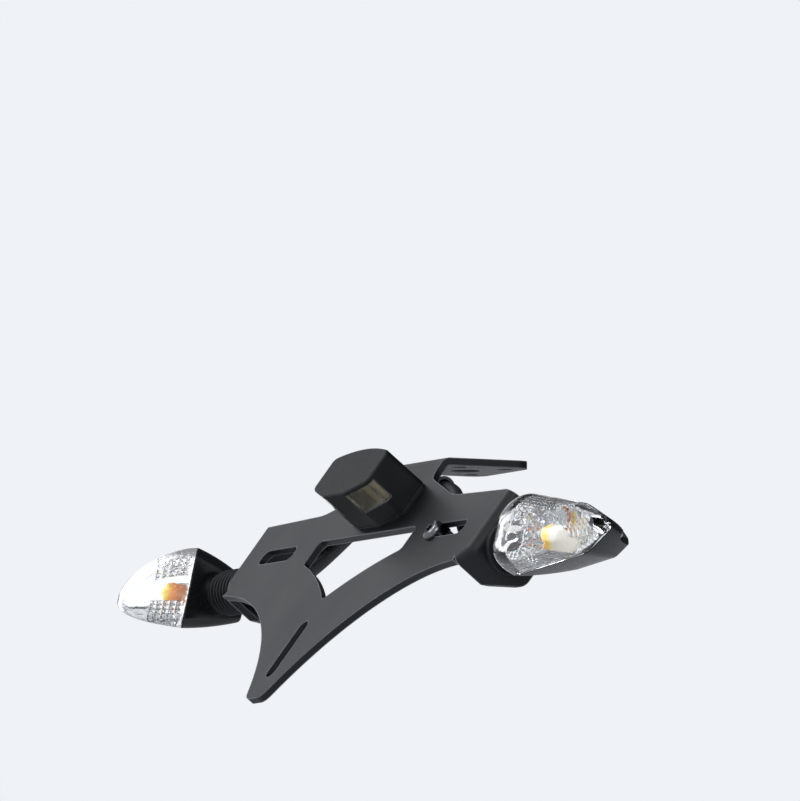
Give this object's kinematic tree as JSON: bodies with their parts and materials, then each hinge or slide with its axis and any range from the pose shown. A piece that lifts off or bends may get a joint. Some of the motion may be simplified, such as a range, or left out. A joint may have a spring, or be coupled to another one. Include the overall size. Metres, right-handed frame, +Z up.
{
  "type": "motorbike tail tidy",
  "caption": "Folded sheet bracket that carries a licence plate under a motorbike's tail, with a plate lamp on its neck and a turn indicator on a rubber stem at each end.",
  "frame": {"origin": "centre of the rectangle of mounting holes, on top of the mounting flange", "axes": "+X to the bike's right, +Y forward, +Z up out of the flange's top face"},
  "size_m": [0.3536, 0.1102, 0.0997],
  "materials": {
    "bracket": "satin powder coat",
    "lamp_body": "fine moulded grain",
    "indicator_shell": "smooth black moulding",
    "clear_lens": "clear plastic",
    "silver": "bright metallised",
    "amber_bulb": "amber glass",
    "clear_bulb": "clear glass",
    "contact": "plain",
    "fastener": "zinc plated",
    "rubber": "matt",
    "clip": "moulded nylon",
    "connector": "moulded nylon",
    "lead": "sleeved lead"
  },
  "bodies": {
    "root": {"plate_bracket": "bracket", "lamp_gasket": "rubber", "lamp_housing": "lamp_body", "lamp_lens": "clear_lens", "lamp_reflector": "silver", "lamp_bulb": "clear_bulb", "lamp_contacts": "contact", "lamp_screws": "fastener", "lamp_washers": "fastener", "lead_clips": "clip", "lead_connector": "connector", "slot_bolt": "fastener", "slot_washer": "fastener", "slot_nut": "fastener", "right_indicator_body": "indicator_shell", "left_indicator_body": "indicator_shell", "right_indicator_lens": "clear_lens", "left_indicator_lens": "clear_lens", "right_indicator_gasket": "rubber", "left_indicator_gasket": "rubber", "right_indicator_reflector": "silver", "left_indicator_reflector": "silver", "right_indicator_bulb": "amber_bulb", "left_indicator_bulb": "amber_bulb", "right_bulb_holder": "connector", "left_bulb_holder": "connector", "right_lens_screw": "fastener", "left_lens_screw": "fastener", "right_stem": "rubber", "left_stem": "rubber", "right_stem_stud": "fastener", "left_stem_stud": "fastener", "right_stem_washer": "fastener", "left_stem_washer": "fastener", "right_stem_nut": "fastener", "left_stem_nut": "fastener", "right_lead": "lead", "left_lead": "lead"}
  },
  "joints": []
}
